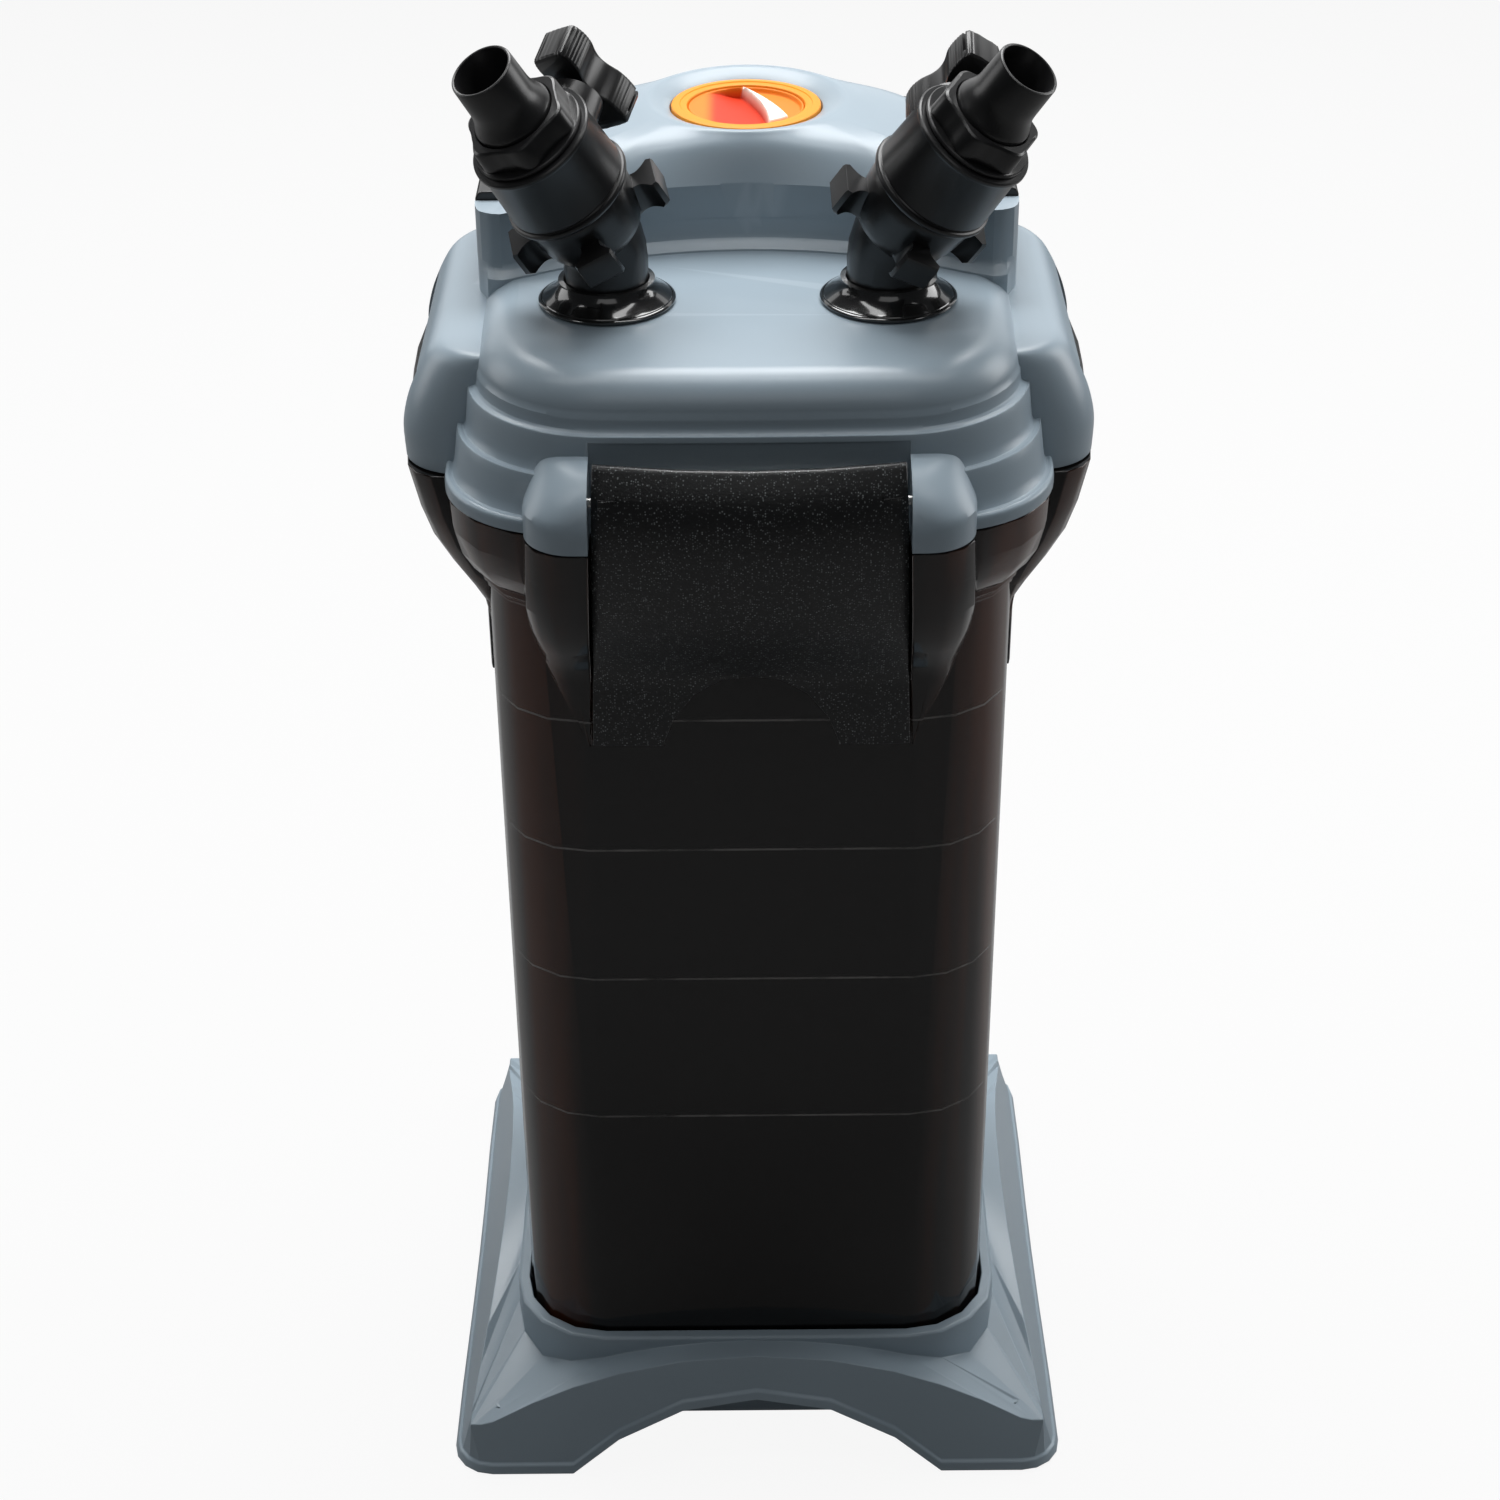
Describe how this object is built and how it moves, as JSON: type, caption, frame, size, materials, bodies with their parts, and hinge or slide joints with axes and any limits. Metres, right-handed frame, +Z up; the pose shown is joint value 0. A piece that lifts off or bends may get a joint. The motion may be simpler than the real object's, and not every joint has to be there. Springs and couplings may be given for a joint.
{
  "type": "aquarium canister filter",
  "caption": "Upright external aquarium filter: smoked canister of stacked media baskets on an arched stand, clipped grey pump head, two angled hose taps with valves, orange priming dial.",
  "frame": {"origin": "centre of the underside of the rubber feet", "axes": "+Z up; the taps lean out over the front, which faces -Y; +X is the right-hand side seen from the front"},
  "size_m": [0.2214, 0.2302, 0.5087],
  "materials": {
    "grey_plastic": "satin moulded, blue grey",
    "smoked_plastic": "glossy translucent brown smoke",
    "black_plastic": "satin black",
    "gloss_black_plastic": "polished black",
    "inner_black_plastic": "plain black",
    "textured_plastic": "spark-eroded black grain",
    "orange_plastic": "yellow orange",
    "red_orange_plastic": "red orange",
    "black_rubber": "plain",
    "stainless_steel": "ground rod",
    "white_ceramic": "ground ceramic",
    "filter_sponge": "open-cell foam",
    "magnet": "bonded ferrite"
  },
  "bodies": {
    "root": {"base_stand": "grey_plastic", "foot_pad_1": "black_rubber", "foot_pad_2": "black_rubber", "foot_pad_3": "black_rubber", "foot_pad_4": "black_rubber", "canister": "smoked_plastic", "media_basket_1": "inner_black_plastic", "media_basket_2": "inner_black_plastic", "media_basket_3": "inner_black_plastic", "media_basket_4": "inner_black_plastic", "media_basket_5": "inner_black_plastic", "media_pad_1": "filter_sponge", "media_pad_2": "filter_sponge", "media_pad_3": "filter_sponge", "media_pad_4": "filter_sponge", "media_pad_5": "filter_sponge", "down_tube": "inner_black_plastic", "head_housing": "grey_plastic", "rear_cover": "black_plastic", "cord_gland": "black_rubber", "primer_bezel": "orange_plastic", "lid_seal": "black_rubber", "pump_plate": "inner_black_plastic", "intake_cover": "inner_black_plastic", "motor_block": "inner_black_plastic", "impeller_shaft": "white_ceramic", "inlet_duct": "inner_black_plastic", "outlet_duct": "inner_black_plastic", "latch_pin_front": "stainless_steel", "latch_pin_rear": "stainless_steel", "latch_pin_right": "stainless_steel", "latch_pin_left": "stainless_steel", "left_flange": "gloss_black_plastic", "left_riser": "black_plastic", "left_valve_body": "black_plastic", "left_hose_tail": "black_plastic", "right_flange": "gloss_black_plastic", "right_riser": "black_plastic", "right_valve_body": "black_plastic", "right_hose_tail": "black_plastic"},
    "clip_front": {"latch_front": "textured_plastic"},
    "clip_rear": {"latch_rear": "textured_plastic"},
    "clip_right": {"latch_right": "textured_plastic"},
    "clip_left": {"latch_left": "textured_plastic"},
    "primer": {"primer_knob": "red_orange_plastic"},
    "rotor": {"impeller": "magnet"},
    "left_union": {"left_union_nut": "black_plastic"},
    "left_valve": {"left_valve_ball": "black_plastic", "left_valve_handle": "black_plastic"},
    "left_cap": {"left_cap_nut": "black_plastic"},
    "right_union": {"right_union_nut": "black_plastic"},
    "right_valve": {"right_valve_ball": "black_plastic", "right_valve_handle": "black_plastic"},
    "right_cap": {"right_cap_nut": "black_plastic"}
  },
  "joints": [
    {"name": "clip_front_hinge", "type": "hinge", "parent": "root", "child": "clip_front", "pos_m": [0, -0.102, 0.387], "axis": [-1, 0, 0], "range_deg": [0, 45]},
    {"name": "clip_rear_hinge", "type": "hinge", "parent": "root", "child": "clip_rear", "pos_m": [0, 0.102, 0.387], "axis": [1, 0, 0], "range_deg": [0, 45]},
    {"name": "clip_right_hinge", "type": "hinge", "parent": "root", "child": "clip_right", "pos_m": [0.098, 0.005, 0.387], "axis": [0, -1, 0], "range_deg": [0, 45]},
    {"name": "clip_left_hinge", "type": "hinge", "parent": "root", "child": "clip_left", "pos_m": [-0.098, 0.005, 0.387], "axis": [0, 1, 0], "range_deg": [0, 45]},
    {"name": "primer_turn", "type": "hinge", "parent": "root", "child": "primer", "pos_m": [0, 0.06, 0.4537], "axis": [0, 0, 1], "range_deg": [-90, 0]},
    {"name": "impeller_spin", "type": "hinge", "parent": "root", "child": "rotor", "pos_m": [0, 0.03, 0.385], "axis": [0, 0, 1], "continuous": true},
    {"name": "left_union_turn", "type": "hinge", "parent": "root", "child": "left_union", "pos_m": [-0.04915, -0.03093, 0.44989], "axis": [-0.4294, -0.3694, 0.8241], "continuous": true},
    {"name": "left_valve_turn", "type": "hinge", "parent": "root", "child": "left_valve", "pos_m": [-0.05946, -0.0398, 0.46967], "axis": [0.3044, 0.7999, 0.5172], "range_deg": [0, 90]},
    {"name": "left_cap_turn", "type": "hinge", "parent": "root", "child": "left_cap", "pos_m": [-0.06676, -0.04608, 0.48368], "axis": [-0.4294, -0.3694, 0.8241], "continuous": true},
    {"name": "right_union_turn", "type": "hinge", "parent": "root", "child": "right_union", "pos_m": [0.05002, -0.03043, 0.44961], "axis": [0.5018, -0.3277, 0.8005], "continuous": true},
    {"name": "right_valve_turn", "type": "hinge", "parent": "root", "child": "right_valve", "pos_m": [0.06207, -0.0383, 0.46882], "axis": [0.0266, 0.9309, 0.3644], "range_deg": [-45, 45]},
    {"name": "right_cap_turn", "type": "hinge", "parent": "root", "child": "right_cap", "pos_m": [0.0706, -0.04387, 0.48243], "axis": [0.5018, -0.3277, 0.8005], "continuous": true}
  ]
}
